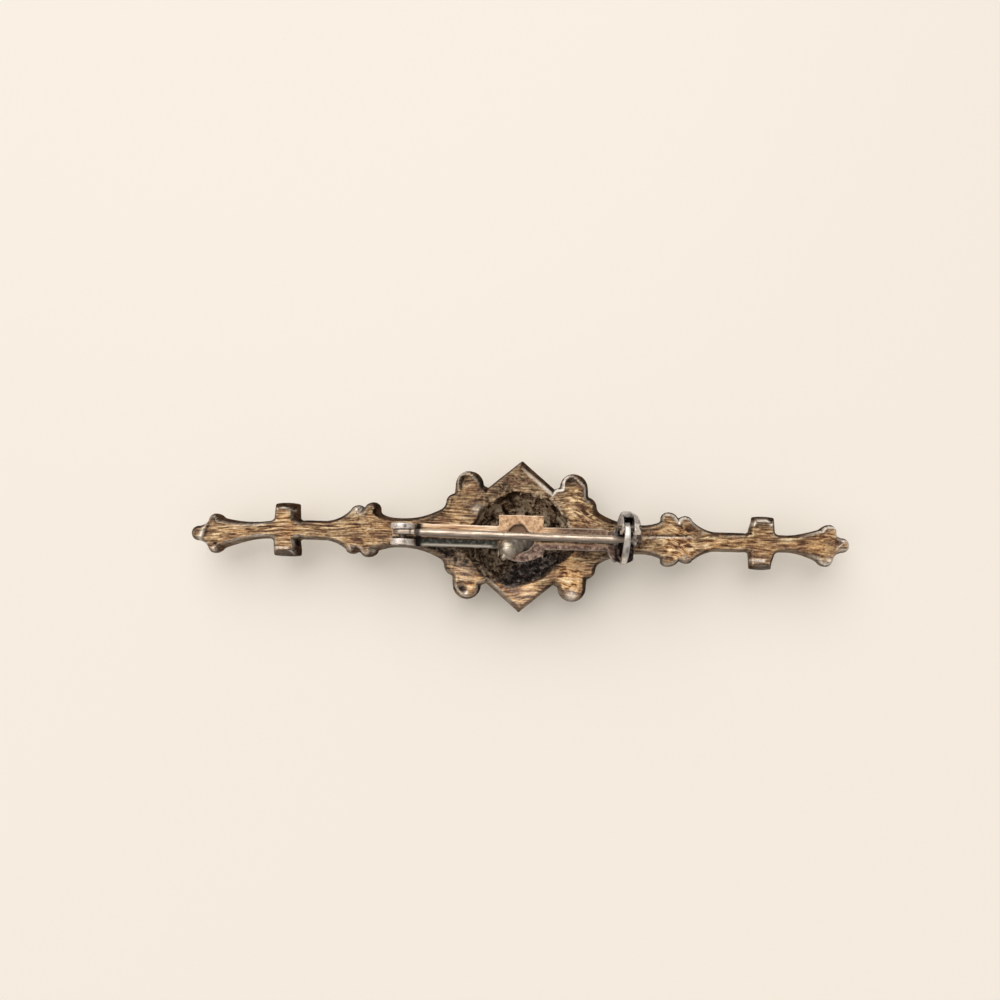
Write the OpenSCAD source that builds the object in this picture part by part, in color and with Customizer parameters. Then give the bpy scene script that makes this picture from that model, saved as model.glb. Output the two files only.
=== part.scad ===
// Bar brooch with a plain domed front, a hinged pin and a rollover safety catch.
// It lies on the flat table of its domed front, with its back up.
// Origin: bottom centre. +X runs along the bar to the catch, +Y across it, +Z up through the back.

/* [Centre ornament] */
// Height of the centre diamond from point to point
diamond_h = 16.1; // [14:0.1:19]
// Distance from the centre to the notch where the diamond meets a lobe
notch_x = 3.55; // [3:0.05:4.2]
// Distance of that notch from the long axis
notch_y = 5.05; // [4.6:0.05:5.6]
// Radius of the round lobes beside the diamond
lobe_r = 1.5; // [1.2:0.05:1.9]
// Distance of the lobes' centres from the long axis
lobe_y = 5.35; // [5:0.05:6.2]
// Height of the small shoulder outside each lobe
shoulder_y = 4.35; // [3.8:0.05:4.6]
// Length of the small shoulder along the bar
shoulder_len = 1.3; // [1:0.05:1.8]
// Height at which the wing leaves the shoulder
wing_y = 2.7; // [2.2:0.05:3.2]

/* [Arms] */
// Length of the concave wing from the shoulder to the leaf
wing_len = 6.3; // [5:0.1:8]
// Half height of the neck between wing and leaf
neck_y = 1.55; // [1.3:0.05:1.9]
// Length of the two-lobed leaf
leaf_len = 5.9; // [5:0.1:7.5]
// Half height of the leaf at its inner lobe
leaf_inner_y = 3; // [2.6:0.05:3.5]
// Half height of the leaf at its outer lobe
leaf_outer_y = 2.65; // [2.3:0.05:2.9]
// Half height of the plain shaft
shaft_y = 0.92; // [0.8:0.02:1.2]
// Length of the shaft between the leaf and the cross tab
inner_shaft_len = 2.9; // [2:0.1:5]
// Length of the cross tab along the bar
tab_len = 2.75; // [2:0.05:4]
// Half height of the cross tab
tab_y = 2.85; // [2.2:0.05:3.5]
// Distance by which the catch arm's cross tab sits further out than the hinge arm's
tab_shift = 0.8; // [0:0.05:1]
// Length of the shaft between the cross tab and the tip
outer_shaft_len = 4.9; // [4:0.1:7]
// Length of the three-pointed tip
tip_len = 3.8; // [3.2:0.05:5]
// Half height of the tip at its side points
tip_y = 2.2; // [1.8:0.05:2.8]

/* [Casting] */
// Thickness of the bar
bar_t = 1.8; // [1.5:0.05:2.5]
// Width of the bevel round the back face
bevel_w = 0.3; // [0.2:0.05:0.6]
// Depth of the bevel round the back face
bevel_d = 0.8; // [0.4:0.05:1]
// Width and depth of the bevel round the front face
front_bevel = 0.35; // [0.2:0.05:0.45]
// Height of the domed boss under the bar
boss_h = 3.2; // [2.5:0.1:4.5]
// Radius of the boss where it meets the bar
boss_r = 5.95; // [5.8:0.05:6.1]
// Radius of the flat table of the boss
table_r = 2.8; // [2:0.1:3.5]
// Radius of the round hollow behind the boss, at its mouth
hollow_r = 5.25; // [4.8:0.05:5.4]
// Radius of the hollow's flat floor
floor_r = 2.6; // [2:0.1:3]
// Thickness of the boss's floor
floor_t = 1; // [0.8:0.05:1.4]

/* [Backing strip] */
// Thickness of the backing strip
strip_t = 0.6; // [0.4:0.05:1]
// Width of the backing strip
strip_w = 2.35; // [2.2:0.05:2.8]
// Distance of the strip's centre line from the bar's, towards the near side
strip_off = 0.2; // [0:0.05:0.5]
// Length of the square plate along the strip
plate_len = 4.7; // [4:0.1:6]
// Width of the square plate across the strip
plate_w = 4.7; // [4:0.1:6]
// Radius of the round hole in the square plate
plate_hole_r = 1.5; // [1.2:0.05:1.8]
// Gap between the strip and the casting, and round the centre rivet
seat_gap = 0.03; // [0.02:0.01:0.06]

/* [Centre rivet] */
// Radius of the rivet's shank
shank_r = 0.5; // [0.4:0.05:0.6]
// Depth of the blind hole that holds the shank
shank_seat = 0.5; // [0.3:0.05:0.6]
// Radius of the rivet's lumpy head
head_r = 1.15; // [0.9:0.05:1.2]
// Height of the rivet's head above the plate
head_h = 0.7; // [0.5:0.05:0.9]

/* [Hinge] */
// Distance from the centre to the hinge's axis
hinge_x = 12.2; // [11.5:0.1:13]
// Height of the hinge's axis above the strip
hinge_h = 1.5; // [1.4:0.05:2]
// Radius of the round hinge ears
ear_r = 1.25; // [1.2:0.05:1.4]
// Thickness of each hinge ear
ear_t = 0.6; // [0.4:0.05:0.7]
// Thickness of the knuckle between the ears
knuckle_t = 0.6; // [0.5:0.05:0.9]
// Side gap between the knuckle and each ear
knuckle_gap = 0.2; // [0.1:0.05:0.3]
// Radius of the knuckle
knuckle_r = 1; // [0.8:0.05:1.2]
// Radius of the hinge rivet
rivet_r = 0.4; // [0.3:0.05:0.5]
// Gap between the rivet and its holes
rivet_gap = 0.03; // [0.02:0.01:0.06]
// Height of the hinge rivet's rounded ends outside the ears
rivet_end = 0.12; // [0.05:0.01:0.2]

/* [Pin] */
// Radius of the pin wire
pin_r = 0.4; // [0.3:0.05:0.5]
// Height of the pin's axis above the strip
pin_h = 2.3; // [2.2:0.05:2.6]
// Length of the tapered shoulder where the pin leaves the knuckle
pin_shoulder_len = 1.1; // [0.8:0.1:1.6]
// Length of the pin's tapered point
pin_point_len = 2.6; // [2:0.1:4]
// Radius of the pin's blunt end
pin_end_r = 0.14; // [0.1:0.02:0.2]
// Distance that the pin reaches past the middle of the catch
pin_reach = 1.1; // [0.8:0.05:1.6]
// Gap under the pin's heel, which stops on the strip
heel_gap = 0.06; // [0.04:0.01:0.1]

/* [Safety catch] */
// Distance from the centre to the middle of the catch
catch_x = 10.8; // [10.5:0.05:12]
// Distance of the catch's axis from the pin's, towards the far side
catch_off = 0.2; // [0.1:0.05:0.4]
// Outer radius of the catch housing
housing_r = 2.75; // [2.6:0.05:3]
// Radius of the opening through the housing's cheeks
bore_r = 1.25; // [1.15:0.05:1.4]
// Width of the housing along the bar
housing_w = 2.3; // [2.2:0.05:2.8]
// Thickness of each cheek
cheek_t = 0.5; // [0.4:0.05:0.6]
// Thickness of the web that joins the cheeks
web_t = 0.4; // [0.3:0.05:0.5]
// Angle at which the web ends, measured from +Y towards +Z
web_end = 28; // [15:1:32]
// Radius of the housing's outer corners
corner_r = 0.95; // [0.4:0.05:1]
// Half width of the pointed foot under the housing, along the bar
foot_x = 1.9; // [1.5:0.05:2.2]
// Half length of the pointed foot across the bar
foot_y = 2.5; // [2.2:0.05:2.8]

/* [Lever] */
// Thickness of the lever along the bar
lever_t = 0.6; // [0.5:0.05:0.8]
// Side gap between the lever and the cheek beside it
lever_gap = 0.06; // [0.04:0.01:0.1]
// Inner radius of the lever's arm, round the catch's axis
lever_in_r = 2.25; // [2.1:0.05:2.3]
// Depth of the lever's arm
lever_d = 0.45; // [0.35:0.05:0.5]
// Radius of the lever's round thumb end
thumb_r = 0.32; // [0.3:0.02:0.5]
// Distance from the catch's axis to the lever's rivet
pivot_r = 1.9; // [1.8:0.05:2]
// Angle of the lever's rivet, measured from +Y towards +Z
pivot_a = 60; // [55:1:66]
// Radius of the lever's eye round the rivet
eye_r = 0.55; // [0.5:0.05:0.6]
// Radius of the lever's rivet
catch_rivet_r = 0.25; // [0.2:0.05:0.3]
// Radius of the shoulder on that rivet, which keeps the lever to its side
rivet_shoulder_r = 0.35; // [0.3:0.05:0.45]

/* [Hidden] */
$fn = 48;
eps = 0.01;

// Heights of the faces, from the boss's table up
back_z = boss_h + bar_t;
strip_z = back_z + seat_gap;
strip_top = strip_z + strip_t;
hinge_z = strip_top + hinge_h;
pin_z = strip_top + pin_h;

// Places along the arm, from the centre out
lobe_x = notch_x + lobe_r + 0.5;
lobe_end_x = lobe_x + lobe_r;
shoulder_end_x = lobe_end_x + shoulder_len;
leaf_x = shoulder_end_x + wing_len;
shaft_x = leaf_x + leaf_len;
tab_x = shaft_x + inner_shaft_len;
outer_shaft_x = tab_x + tab_len;
tip_x = outer_shaft_x + outer_shaft_len;
half_len = tip_x + tip_len;

// The far edge of one arm, from the diamond's point to the tip, where side is 1 for +X and -1 for -X.
// Columns: place along the arm, half height, bulge of the edge that ends here, its number of steps
function arm(side) =
    let (
        tab0 = tab_x + (side > 0 ? tab_shift : 0),
        tab1 = tab0 + tab_len
    )
    [
        [0, diamond_h / 2, 0, 1],
        [notch_x, notch_y, 0, 1],
        [lobe_x - lobe_r, lobe_y - 0.1, 0.05, 2],
        [lobe_end_x, lobe_y, lobe_r, 10],
        [lobe_end_x + 0.05, shoulder_y, 0, 1],
        [lobe_end_x + 0.75 * shoulder_len, 0.75 * shoulder_y, 0.28, 5],
        [shoulder_end_x, wing_y, -0.06, 2],
        [shoulder_end_x + 0.7 * wing_len, neck_y, -0.32, 7],
        [leaf_x, 1.2 * neck_y, -0.1, 3],
        [leaf_x + 0.06 * leaf_len, 0.68 * leaf_inner_y, 0, 1],
        [leaf_x + 0.37 * leaf_len, 0.77 * leaf_inner_y, 0.28 * leaf_inner_y, 7],
        [leaf_x + 0.61 * leaf_len, 0.8 * leaf_outer_y, 0.17 * leaf_outer_y, 5],
        [shaft_x, 1.12 * shaft_y, -0.2, 5],
        [tab0 - 0.7, 1.12 * shaft_y, 0, 1],
        [tab0, 1.2 * shaft_y, -0.08, 2],
        [tab0 + 0.1, tab_y - 0.1, 0, 1],
        [tab1 - 0.1, tab_y - 0.1, 0.1, 4],
        [tab1, 1.2 * shaft_y, 0, 1],
        [tab1 + 0.7, shaft_y, -0.08, 2],
        [tip_x, 0.72 * tip_y, -0.22, 6],
        [tip_x + 0.52 * tip_len, 0.6 * tip_y, 0.3 * tip_y, 6],
        [tip_x + 0.76 * tip_len, 0.36 * tip_y, -0.1, 2],
        [half_len, 0, 0.28, 4],
    ];

// Points of a circular edge from p to q that bulges by s to the left, without p itself
function bow(p, q, s, n) =
    s == 0 ? [q] :
    let (
        chord = norm(q - p),
        along = (q - p) / chord,
        across = [-along[1], along[0]],
        r = (chord * chord / 4 + s * s) / (2 * s),
        half_angle = acos((r - s) / r)
    )
    [for (i = [1 : n])
        let (a = half_angle * (2 * i / n - 1))
        (p + q) / 2 + along * abs(r) * sin(a) + across * (s - r + r * cos(a))];

function corner(row) = [row[0], row[1]];

function edge_points(rows) = [
    corner(rows[0]),
    for (i = [1 : len(rows) - 1])
        each bow(corner(rows[i - 1]), corner(rows[i]), rows[i][2], rows[i][3])
];

right_edge = edge_points(arm(1));
left_edge = edge_points(arm(-1));
last = len(right_edge) - 1;

// The whole outline, clockwise from the far point of the diamond
outline = [
    for (i = [0 : last]) right_edge[i],
    for (i = [1 : last]) [right_edge[last - i][0], -right_edge[last - i][1]],
    for (i = [1 : last]) [-left_edge[i][0], -left_edge[i][1]],
    for (i = [1 : last - 1]) [-left_edge[last - i][0], left_edge[last - i][1]],
];
sides = len(outline);

// Outward normal of the edge that starts at point i of a clockwise loop
function edge_normal(loop, i) =
    let (
        n = len(loop),
        d = loop[(i + 1) % n] - loop[i % n]
    )
    [-d[1], d[0]] / norm(d);

// The loop moved inwards by w, with every edge kept parallel
function inset(loop, w) =
    [for (i = [0 : len(loop) - 1])
        let (
            a = edge_normal(loop, i + len(loop) - 1),
            b = edge_normal(loop, i)
        )
        loop[i] - (a + b) * w / (1 + a * b)];

// The outline as strips across the bar, each the points i and i + 1 and the two that mirror them
CAP = [for (i = [0 : 2 * last - 1])
    [for (k = [i - last, i + 1 - last, 3 * last - i - 1, 3 * last - i]) (k + sides) % sides]];

// Solid through rings of the outline, each ring a height and an inset
module bevelled_bar(rings) {
    points = [for (ring = rings) each [for (p = inset(outline, ring[1])) [p[0], p[1], ring[0]]]];
    top = (len(rings) - 1) * sides;
    polyhedron(
        points,
        [
            for (quad = CAP) [for (i = [3 : -1 : 0]) quad[i]],
            for (k = [0 : len(rings) - 2], i = [0 : sides - 1])
                let (j = (i + 1) % sides, low = k * sides, high = low + sides)
                [low + i, low + j, high + j, high + i],
            for (quad = CAP) [for (i = quad) top + i],
        ],
        convexity = 10
    );
}

// Solid of revolution with a flat end of radius r0 at z0 that bulges out to radius r1 at z1, and on up to z2
module bowl(r0, z0, r1, z1, z2, bulge) {
    rotate_extrude($fn = 72)
        polygon([[0, z0], [r0, z0], each bow([r0, z0], [r1, z1], -bulge, 6), [r1, z2], [0, z2]]);
}

module bar_casting() {
    color("#b58a52")
        difference() {
            union() {
                bevelled_bar([
                    [boss_h, front_bevel],
                    [boss_h + front_bevel, 0],
                    [back_z - bevel_d, 0],
                    [back_z, bevel_w],
                ]);
                bowl(table_r, 0, boss_r, boss_h, boss_h + bar_t / 2, 0.8);
            }
            bowl(floor_r, floor_t, hollow_r, back_z - 0.6, back_z + 1, 0.7);
            translate([shank_x, shank_y, floor_t - shank_seat])
                cylinder(r = shank_r + seat_gap, h = shank_seat + eps);
        }
}

// The rivet stands off the hole's centre, with its head lapping the near left edge of the hole
shank_x = -0.55 * plate_hole_r;
shank_y = -strip_off - 0.35 * plate_hole_r;
head_x = -0.83 * plate_hole_r;
head_y = -strip_off - 0.83 * plate_hole_r;

module centre_rivet() {
    head_ball_r = (head_r * head_r + head_h * head_h) / (2 * head_h);
    head_z = strip_top + seat_gap;
    color("#a9a79f")
        union() {
            translate([shank_x, shank_y, floor_t - shank_seat + seat_gap])
                cylinder(r = shank_r, h = head_z - floor_t + shank_seat - seat_gap + head_h / 3);
            translate([head_x, head_y, head_z])
                intersection() {
                    translate([0, 0, head_h - head_ball_r]) sphere(r = head_ball_r);
                    cylinder(r = head_r + eps, h = head_h + eps);
                }
        }
}

// Upright plate with a round top, its faces square to Y
module ear(y, t) {
    translate([0, y + t, 0])
        rotate([90, 0, 0])
            linear_extrude(t)
                union() {
                    translate([-hinge_x, hinge_z]) circle(r = ear_r);
                    translate([-hinge_x - ear_r, strip_z]) square([2 * ear_r, hinge_z - strip_z]);
                }
}

module rivet_hole(r) {
    translate([-hinge_x, -strip_off, hinge_z])
        rotate([90, 0, 0])
            cylinder(r = r, h = 2 * strip_w + 2, center = true);
}

// Solid of revolution about the catch's axis, from angle a0 to a1, where 0 points to +Y and 90 to +Z
module catch_sector(a0, a1) {
    translate([catch_x, catch_y, pin_z])
        rotate([90, 0, 90])
            rotate([0, 0, a0])
                rotate_extrude(angle = a1 - a0, $fn = 72) children();
}

catch_y = -strip_off + catch_off;
slot_x = -housing_w / 2 + cheek_t;
slot_w = housing_w - 2 * cheek_t;
web_in_r = housing_r - web_t;
lever_x = slot_x + lever_gap;

// Angles round the catch's axis of the two sides of the housing's mouth
mouth_far = acos((pin_r - catch_off + 0.12) / bore_r);
mouth_near = 192;

// Cross-section of the housing: distance from the axis by place along the bar, with rounded outer corners
module housing_profile() {
    intersection() {
        translate([bore_r, -housing_w / 2]) square([housing_r - bore_r, housing_w]);
        union() {
            translate([0, -housing_w / 2]) square([housing_r - corner_r, housing_w]);
            translate([0, corner_r - housing_w / 2]) square([housing_r, housing_w - 2 * corner_r]);
            for (s = [-1, 1])
                translate([housing_r - corner_r, s * (housing_w / 2 - corner_r)]) circle(r = corner_r);
        }
    }
}

module housing() {
    catch_sector(mouth_near - 360, mouth_far)
        difference() {
            housing_profile();
            translate([0, slot_x]) square([housing_r + 1, slot_w]);
        }
    catch_sector(mouth_near - 360, web_end)
        intersection() {
            housing_profile();
            translate([web_in_r, slot_x - eps]) square([web_t, slot_w + 2 * eps]);
        }
}

// Cylinder along X on the lever's rivet, from x0 to x1 measured from the middle of the catch
module on_pivot(r, x0, x1) {
    translate([catch_x + x0, catch_y + pivot_r * cos(pivot_a), pin_z + pivot_r * sin(pivot_a)])
        rotate([0, 90, 0]) cylinder(r = r, h = x1 - x0);
}

// Pointed foot with two round sides, its points towards +Y and -Y
module foot() {
    side_r = (foot_x * foot_x + foot_y * foot_y) / (2 * foot_x);
    translate([catch_x, -strip_off, strip_z])
        intersection_for(s = [-1, 1])
            translate([s * (side_r - foot_x), 0, 0]) cylinder(r = side_r, h = strip_t, $fn = 72);
}

module backing_strip() {
    strip_end = catch_x + housing_w / 2;
    color("#cfae84")
        difference() {
            union() {
                translate([-hinge_x - ear_r, -strip_off - strip_w / 2, strip_z])
                    cube([hinge_x + ear_r + strip_end, strip_w, strip_t]);
                translate([-plate_len / 2, -strip_off - plate_w / 2, strip_z])
                    cube([plate_len, plate_w, strip_t]);
                foot();
                intersection() {
                    housing();
                    translate([0, -housing_r * 2, strip_z]) cube([2 * catch_x, 4 * housing_r, 4 * housing_r]);
                }
                ear(-strip_off + knuckle_t / 2 + knuckle_gap, ear_t);
                ear(-strip_off - knuckle_t / 2 - knuckle_gap - ear_t, ear_t);
            }
            translate([0, -strip_off, strip_z - 1]) cylinder(r = plate_hole_r, h = strip_t + 2);
            rivet_hole(rivet_r + rivet_gap);
            on_pivot(catch_rivet_r + rivet_gap, -housing_w, 0);
            on_pivot(rivet_shoulder_r + rivet_gap, 0, housing_w);
        }
}

module hinge_rivet() {
    reach = knuckle_t / 2 + knuckle_gap + ear_t + rivet_end;
    color("#a9a79f")
        translate([-hinge_x, -strip_off, hinge_z])
            rotate([90, 0, 0])
                rotate_extrude()
                    polygon([
                        [0, -reach],
                        [rivet_r * 0.6, -reach],
                        [rivet_r, rivet_end / 2 - reach],
                        [rivet_r, reach - rivet_end / 2],
                        [rivet_r * 0.6, reach],
                        [0, reach],
                    ]);
}

module pin_stem() {
    wire_x = -hinge_x + ear_r + 0.15;
    shoulder_end = wire_x + pin_shoulder_len;
    tip = catch_x + pin_reach;
    tang_r = knuckle_t / 2;
    color("#a9a79f")
        difference() {
            union() {
                translate([0, -strip_off + knuckle_t / 2, 0])
                    rotate([90, 0, 0])
                        linear_extrude(knuckle_t)
                            union() {
                                translate([-hinge_x, hinge_z]) circle(r = knuckle_r);
                                polygon([
                                    [-hinge_x, hinge_z],
                                    [-hinge_x + 0.3 * knuckle_r, strip_top + heel_gap],
                                    [-hinge_x + knuckle_r, strip_top + heel_gap],
                                    [wire_x + eps, pin_z - tang_r],
                                    [wire_x + eps, pin_z + tang_r],
                                    [-hinge_x, hinge_z + knuckle_r],
                                ]);
                            }
                translate([0, -strip_off, pin_z])
                    rotate([0, 90, 0])
                        rotate_extrude()
                            polygon([
                                [0, wire_x - 0.3],
                                [tang_r, wire_x - 0.3],
                                [tang_r, wire_x],
                                [pin_r, shoulder_end],
                                [pin_r, tip - pin_point_len],
                                [pin_end_r, tip],
                                [0, tip],
                            ]);
            }
            rivet_hole(rivet_r + rivet_gap);
        }
}

module catch_rivet() {
    shoulder_x = lever_x + lever_t + lever_gap;
    color("#a9a79f")
        union() {
            on_pivot(catch_rivet_r, -housing_w / 2, shoulder_x + eps);
            on_pivot(rivet_shoulder_r, shoulder_x, housing_w / 2);
        }
}

module catch_lever() {
    thumb_a = 180 - thumb_r / lever_in_r * 180 / PI;
    color("#c9c6bd")
        difference() {
            union() {
                catch_sector(pivot_a + 5, thumb_a)
                    translate([lever_in_r, lever_x]) square([lever_d, lever_t]);
                on_pivot(eye_r, lever_x, lever_x + lever_t);
                translate([catch_x + lever_x, catch_y, pin_z])
                    rotate([thumb_a, 0, 0])
                        translate([0, lever_in_r + lever_d / 2, 0])
                            rotate([0, 90, 0]) cylinder(r = thumb_r, h = lever_t);
            }
            on_pivot(catch_rivet_r + rivet_gap, -housing_w, housing_w);
        }
}

bar_casting();
centre_rivet();
backing_strip();
hinge_rivet();
pin_stem();
catch_rivet();
catch_lever();
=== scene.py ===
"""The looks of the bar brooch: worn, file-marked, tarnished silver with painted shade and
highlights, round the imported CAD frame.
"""

import math
from collections import namedtuple
from types import SimpleNamespace

import bmesh
import bpy
import numpy as np
from mathutils import Matrix, Vector


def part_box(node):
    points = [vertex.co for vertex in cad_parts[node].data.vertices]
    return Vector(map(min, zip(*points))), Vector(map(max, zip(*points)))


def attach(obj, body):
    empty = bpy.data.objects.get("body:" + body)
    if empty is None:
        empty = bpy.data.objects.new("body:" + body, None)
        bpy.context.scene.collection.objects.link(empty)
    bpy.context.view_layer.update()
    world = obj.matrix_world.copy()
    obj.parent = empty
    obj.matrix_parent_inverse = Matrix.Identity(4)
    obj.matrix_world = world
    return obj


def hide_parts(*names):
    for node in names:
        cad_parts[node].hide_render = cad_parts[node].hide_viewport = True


MM = 0.001

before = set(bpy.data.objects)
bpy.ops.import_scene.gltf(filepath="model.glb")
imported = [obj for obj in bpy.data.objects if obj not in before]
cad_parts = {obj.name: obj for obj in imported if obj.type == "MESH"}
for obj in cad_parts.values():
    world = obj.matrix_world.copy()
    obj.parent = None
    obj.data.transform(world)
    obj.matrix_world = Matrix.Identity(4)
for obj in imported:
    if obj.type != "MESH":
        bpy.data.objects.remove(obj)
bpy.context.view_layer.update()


def corners(*nodes):
    """Lowest and highest corner of the box round some nodes, in millimetres."""
    boxes = [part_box(node) for node in nodes]
    low = np.min([b[0] for b in boxes], axis=0) / MM
    high = np.max([b[1] for b in boxes], axis=0) / MM
    return low, high


def table(columns, rows):
    """Rows of numbers whose columns are read by name."""
    row_type = namedtuple("Row", columns)
    return [row_type(*row) for row in rows]


# Sizes of the CAD model, in millimetres
BEVEL_HEIGHT = 1.1
STRIP_RISE = 0.63
HINGE_INSET = 1.25
HOLLOW_R = 5.25
PLATE_HALF = 2.35
HOLE_R = 1.5

# Places in the frame, in millimetres
STRIP_LOW = corners("backing_strip")[0]
PIN_LOW, PIN_HIGH = corners("pin_stem")
LEVER_LOW, LEVER_HIGH = corners("catch_lever")
BACK_Z = corners("bar_casting")[1][2]
RING_Z = BACK_Z - BEVEL_HEIGHT
STRIP_TOP = BACK_Z + STRIP_RISE
STRIP_Y = (PIN_LOW[1] + PIN_HIGH[1]) / 2
HINGE_X = STRIP_LOW[0] + HINGE_INSET
CATCH_X = LEVER_HIGH[0] - 0.01
HOLLOW_Z = 0.9  # the hollow lies above this height
ARM_START, ARM_FULL = 9.0, 12.0  # the middle passes into the arms between these, on both sides
TAB_X = 25.1  # middle of the cross tabs, on both sides

# Spacing of the fine meshes, in millimetres
CASTING_VOXEL = 0.122
STRIP_VOXEL = 0.07
LUMP_VOXEL = 0.05

# How far the wire lies to the far side for each millimetre that it is away from the catch
PIN_LEAN = 0.009

# How the photograph sees the brooch
IMAGE_PX = 1000
FOCAL_PX = 900.0
PX_PER_MM = 9.39
CENTRE_PX = (520.5, 536.3)
ELEVATION = 86.0
ROLL = 1.68

# Mouth of the hollow as the photograph shows it: angle from +X towards +Y, radius
HOLLOW_EDGE = [
    (-165, 6.3),
    (-152, 5.9),
    (-134, 5.9),
    (-112, 5.4),
    (-98, 5.5),
    (-77, 5.0),
    (-56, 4.9),
    (-39, 4.8),
    (-15, 5.8),
    (14, 5.3),
    (48, 5.2),
    (79, 4.6),
    (125, 4.5),
    (149, 5.0),
    (162, 4.8),
]

# Zones of file marks: how the marks slope, and the shares of coarse and of scaly ones
MARK_ZONES = table("x y radius slope coarse scaly", [
    (-6.0, -4.4, 2.4, -0.10, 1.0, 0.0),
    (0.0, -6.4, 2.0, 0.20, 1.0, 0.0),
    (-6.0, 4.6, 2.6, 0.08, 0.3, 0.1),
    (0.0, 6.0, 2.4, 0.0, 0.2, 0.5),
    (7.0, 3.0, 2.6, -0.30, 0.4, 0.9),
    (5.4, -4.4, 1.8, -0.15, 0.2, 0.8),
    (13.6, 0.0, 1.6, 0.0, 0.4, 0.5),
    (16.8, 0.0, 2.4, -0.25, 0.5, 0.8),
    (21.0, 0.0, 2.4, 0.05, 0.8, 0.3),
    (29.0, 0.0, 2.4, 0.0, 0.9, 0.2),
    (-16.6, 0.0, 2.0, 0.05, 0.0, 0.45),
    (32.0, 0.0, 2.0, -0.15, 0.4, 0.5),
    (-33.0, 0.0, 1.6, 0.0, 0.0, 0.5),
])

# Dents and beads on the back face
SPOTS = table("x y radius height tarnish polish", [
    (-32.0, -1.15, 0.30, -0.25, 0.9, 0.0),
    (-32.0, -1.65, 0.25, 0.05, 0.0, 1.0),
    (-32.0, 1.5, 0.50, -0.12, 0.5, 0.0),
    (-17.4, 2.1, 0.35, 0.05, 0.0, 0.9),
    (-15.6, 2.3, 0.50, -0.10, 0.5, 0.0),
    (-17.6, -2.0, 0.35, 0.0, 0.0, 0.5),
    (-15.6, -2.2, 0.40, 0.0, 0.0, 0.6),
    (-6.4, 5.5, 0.85, -0.30, 0.7, 0.0),
    (-4.6, 2.6, 0.60, 0.12, 0.0, 0.3),
    (-7.4, 3.5, 0.35, 0.05, 0.6, 0.0),
    (-6.1, -5.7, 0.60, -0.35, 0.9, 0.0),
    (-5.6, -6.1, 0.25, 0.12, 0.0, 1.0),
    (0.4, -6.3, 1.7, 0.0, 0.0, 0.18),
    (-6.0, -4.2, 1.2, 0.0, 0.0, 0.14),
    (5.3, 6.1, 0.75, -0.30, 0.75, 0.0),
    (5.4, -6.1, 0.60, 0.0, 0.0, 0.7),
    (5.9, -3.1, 0.9, -0.10, 0.2, 0.0),
    (13.4, 0.9, 0.80, -0.05, 0.45, 0.0),
    (14.6, 1.6, 0.60, -0.05, 0.4, 0.0),
    (17.3, -2.0, 0.40, 0.0, 0.5, 0.3),
    (32.2, -1.6, 0.40, 0.05, 0.0, 0.6),
])

# Patches of dark tarnish on the back face
STAINS = table("x y radius strength", [
    (-0.4, 6.2, 1.5, 0.55),
    (1.2, 5.0, 1.2, 0.45),
    (-1.8, 4.6, 1.4, 0.7),
    (-3.6, 3.4, 1.3, 0.6),
    (-5.0, -1.6, 1.5, 1.0),
    (-6.9, -2.2, 1.2, 1.0),
    (-8.5, -2.0, 1.1, 0.95),
    (-10.0, -1.5, 0.9, 0.9),
    (-4.6, -3.4, 1.0, 0.8),
    (-9.6, 1.9, 0.8, 0.5),
    (-7.5, -1.5, 1.3, 1.3),
    (-9.3, -1.6, 0.9, 1.2),
    (-5.6, -2.2, 1.2, 1.2),
    (6.8, -1.7, 1.1, 0.6),
    (8.6, -1.8, 1.2, 0.45),
    (10.0, 1.2, 1.1, 0.45),
    (12.8, -0.6, 0.8, 0.4),
    (13.2, 1.3, 1.2, 0.4),
    (18.8, 0.9, 1.0, 0.35),
    (21.5, 0.5, 0.8, 0.25),
    (-16.4, 0.0, 2.2, 0.32),
    (-6.0, 4.0, 2.0, 0.2),
    (-4.4, 4.4, 1.0, 0.5),
    (-5.7, 2.6, 1.3, 0.45),
    (-2.6, 5.6, 1.1, 0.45),
    (-7.8, -1.7, 1.0, 1.0),
    (-6.0, -2.7, 0.9, 1.0),
    (3.6, 4.2, 0.9, 0.35),
])

# Patches where the patina is golden
GOLDEN = table("x y radius strength", [
    (-6.0, -4.5, 2.2, 1.0),
    (0.0, -6.2, 2.4, 1.0),
    (5.5, -4.6, 1.9, 1.0),
    (16.8, -0.8, 2.2, 0.6),
    (20.5, 0.0, 2.0, 0.5),
    (30.0, 0.0, 3.0, 0.35),
    (-16.6, -0.4, 1.6, 0.1),
    (-28.0, 0.0, 4.0, 0.25),
    (-21.5, 0.0, 3.0, 0.15),
    (7.0, 3.2, 1.8, 0.3),
])
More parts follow.
